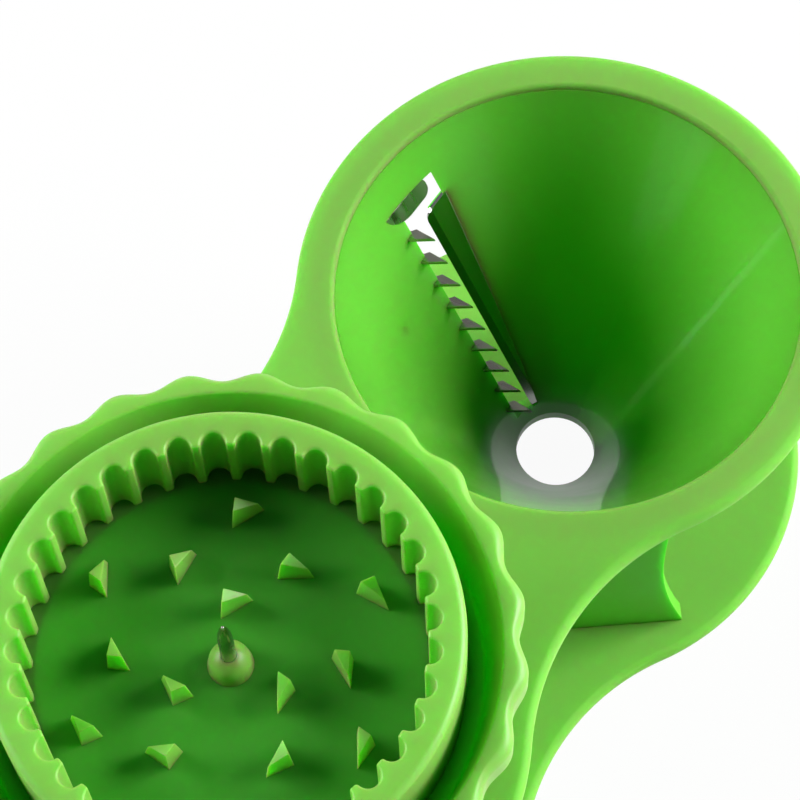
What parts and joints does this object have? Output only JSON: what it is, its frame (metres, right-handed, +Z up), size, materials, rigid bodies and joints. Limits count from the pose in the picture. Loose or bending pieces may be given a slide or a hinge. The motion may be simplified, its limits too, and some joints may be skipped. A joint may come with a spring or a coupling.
{
  "type": "vegetable spiralizer",
  "caption": "Lobed double-cone hand spiralizer with slicing blades, julienne combs and a spiked food holder that stands on the deck and lifts off to be turned by hand.",
  "frame": {"origin": "centre of the foot face, midway between the two cone axes", "axes": "+X from the standing holder to the cone that opens upwards, +Y to the side of the slots, +Z up"},
  "size_m": [0.1524, 0.0764, 0.0976],
  "materials": {
    "deck_plastic": "glossy moulded lime green",
    "cone_plastic": "polished moulded lime green",
    "holder_plastic": "glossy moulded lime green",
    "spike_plastic": "satin moulded lime green",
    "blade_steel": "polished, ground edge",
    "comb_steel": "brushed",
    "screw_steel": "bright",
    "pin_steel": "ground point"
  },
  "bodies": {
    "body": {"upper_plate": "deck_plastic", "lower_plate": "deck_plastic", "cone_a": "cone_plastic", "cone_b": "cone_plastic", "web_a": "deck_plastic", "web_b": "deck_plastic", "blade_a": "blade_steel", "blade_b": "blade_steel", "comb_a": "comb_steel", "comb_b": "comb_steel", "blade_clamp_a": "cone_plastic", "blade_clamp_b": "cone_plastic", "comb_clamp_a": "cone_plastic", "comb_clamp_b": "cone_plastic", "clamp_screws_a": "screw_steel", "clamp_screws_b": "screw_steel"},
    "pin": {"holder_pin": "pin_steel"},
    "holder": {"holder_grip": "holder_plastic", "holder_cup": "holder_plastic", "spike_plate": "spike_plastic", "holder_back": "holder_plastic"}
  },
  "joints": [
    {"name": "holder_lift", "type": "slide", "parent": "body", "child": "pin", "axis": [0, 0, 1], "range_m": [0, 0.12]},
    {"name": "holder_spin", "type": "hinge", "parent": "pin", "child": "holder", "pos_m": [-0.038, 0, 0.06], "axis": [0, 0, 1], "continuous": true}
  ]
}
